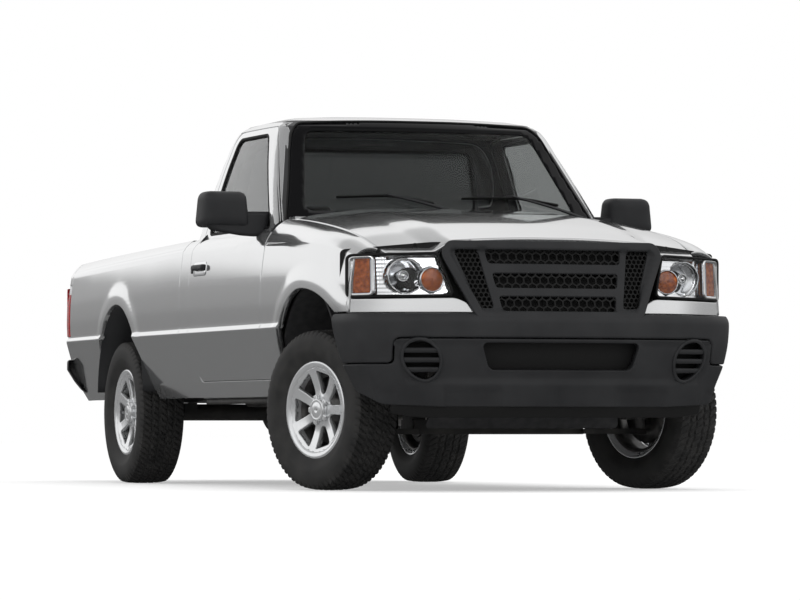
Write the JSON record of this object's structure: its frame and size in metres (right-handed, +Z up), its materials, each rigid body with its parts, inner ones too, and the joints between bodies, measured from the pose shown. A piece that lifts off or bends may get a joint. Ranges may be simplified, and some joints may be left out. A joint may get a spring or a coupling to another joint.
{
  "type": "pickup truck",
  "caption": "Compact regular-cab pickup truck with opening doors, hood and tailgate, wheels that roll and steer, and an open load bed.",
  "frame": {"origin": "on the ground at the middle of the truck's length and width", "axes": "+X to the truck's left, -Y forwards, +Z up"},
  "size_m": [2.0974, 4.8132, 1.6809],
  "materials": {
    "body_paint": "silver metallic, clear coated",
    "charcoal_moulding": "grained matte",
    "window_glass": "dark tint",
    "lamp_housing": "clear and bright",
    "tail_lens": "gloss red",
    "bumper_steel": "satin black",
    "frame_paint": "satin black",
    "castings": "as cast",
    "gear_casing": "as cast",
    "plain_steel": "dull",
    "tyre_rubber": "matte",
    "wheel_alloy": "silver painted alloy",
    "liner_plastic": "rough",
    "seat_cloth": "woven",
    "dash_plastic": "grained"
  },
  "bodies": {
    "truck": {"cab": "body_paint", "cab_glass": "window_glass", "fender_left": "body_paint", "fender_right": "body_paint", "grille": "charcoal_moulding", "headlamps": "lamp_housing", "nose_panel": "body_paint", "front_bumper": "charcoal_moulding", "air_dam": "charcoal_moulding", "bed": "body_paint", "tail_lamps": "tail_lens", "rear_bumper": "bumper_steel", "chassis_frame": "frame_paint", "engine": "castings", "gearbox": "gear_casing", "driveshaft": "plain_steel", "rear_axle": "frame_paint", "leaf_springs": "frame_paint", "front_suspension": "frame_paint", "spare_wheel": "tyre_rubber", "exhaust": "plain_steel", "fuel_tank": "frame_paint", "radiator": "gear_casing", "wheel_liners": "liner_plastic", "bench_seat": "seat_cloth", "dashboard": "dash_plastic"},
    "hood": {"hood": "body_paint"},
    "tailgate": {"tailgate": "body_paint"},
    "steering_wheel": {"steering_wheel": "dash_plastic"},
    "door_left": {"door_left": "body_paint", "door_glass_left": "window_glass", "mirror_left": "charcoal_moulding"},
    "knuckle_left": {"knuckle_left": "castings"},
    "wheel_front_left": {"wheel_front_left": "wheel_alloy", "tyre_front_left": "tyre_rubber"},
    "wheel_rear_left": {"wheel_rear_left": "wheel_alloy", "tyre_rear_left": "tyre_rubber"},
    "door_right": {"door_right": "body_paint", "door_glass_right": "window_glass", "mirror_right": "charcoal_moulding"},
    "knuckle_right": {"knuckle_right": "castings"},
    "wheel_front_right": {"wheel_front_right": "wheel_alloy", "tyre_front_right": "tyre_rubber"},
    "wheel_rear_right": {"wheel_rear_right": "wheel_alloy", "tyre_rear_right": "tyre_rubber"}
  },
  "joints": [
    {"name": "steering_turn", "type": "hinge", "parent": "truck", "child": "steering_wheel", "pos_m": [0.37, -0.56, 1.01], "axis": [0, 0.9135, 0.4067], "range_deg": [-918, 306]},
    {"name": "hood_hinge", "type": "hinge", "parent": "truck", "child": "hood", "pos_m": [0, -1.076, 1.24], "axis": [-1, 0, 0], "range_deg": [0, 50]},
    {"name": "tailgate_hinge", "type": "hinge", "parent": "truck", "child": "tailgate", "pos_m": [0, 2.288, 0.662], "axis": [-1, 0, 0], "range_deg": [0, 90]},
    {"name": "door_left_hinge", "type": "hinge", "parent": "truck", "child": "door_left", "pos_m": [0.882, -0.987, 0.8], "axis": [0, 0, -1], "range_deg": [0, 65]},
    {"name": "steer_left", "type": "hinge", "parent": "truck", "child": "knuckle_left", "pos_m": [0.69, -1.5675, 0.342], "axis": [0, 0, 1], "range_deg": [-54, 18]},
    {"name": "spin_front_left", "type": "hinge", "parent": "knuckle_left", "child": "wheel_front_left", "pos_m": [0.74041, -1.55112, 0.342], "axis": [0.9511, 0.309, 0], "continuous": true},
    {"name": "spin_rear_left", "type": "hinge", "parent": "truck", "child": "wheel_rear_left", "pos_m": [0.731, 1.2645, 0.342], "axis": [1, 0, 0], "continuous": true},
    {"name": "door_right_hinge", "type": "hinge", "parent": "truck", "child": "door_right", "pos_m": [-0.882, -0.987, 0.8], "axis": [0, 0, 1], "range_deg": [0, 65]},
    {"name": "steer_right", "type": "hinge", "parent": "truck", "child": "knuckle_right", "pos_m": [-0.69, -1.5675, 0.342], "axis": [0, 0, 1], "range_deg": [-54, 18]},
    {"name": "spin_front_right", "type": "hinge", "parent": "knuckle_right", "child": "wheel_front_right", "pos_m": [-0.74041, -1.58388, 0.342], "axis": [0.9511, 0.309, 0], "continuous": true},
    {"name": "spin_rear_right", "type": "hinge", "parent": "truck", "child": "wheel_rear_right", "pos_m": [-0.731, 1.2645, 0.342], "axis": [1, 0, 0], "continuous": true}
  ],
  "couplings": [
    {"joint": "steer_left", "follows": "steering_turn", "ratio": 0.058824},
    {"joint": "steer_right", "follows": "steering_turn", "ratio": 0.058824}
  ]
}
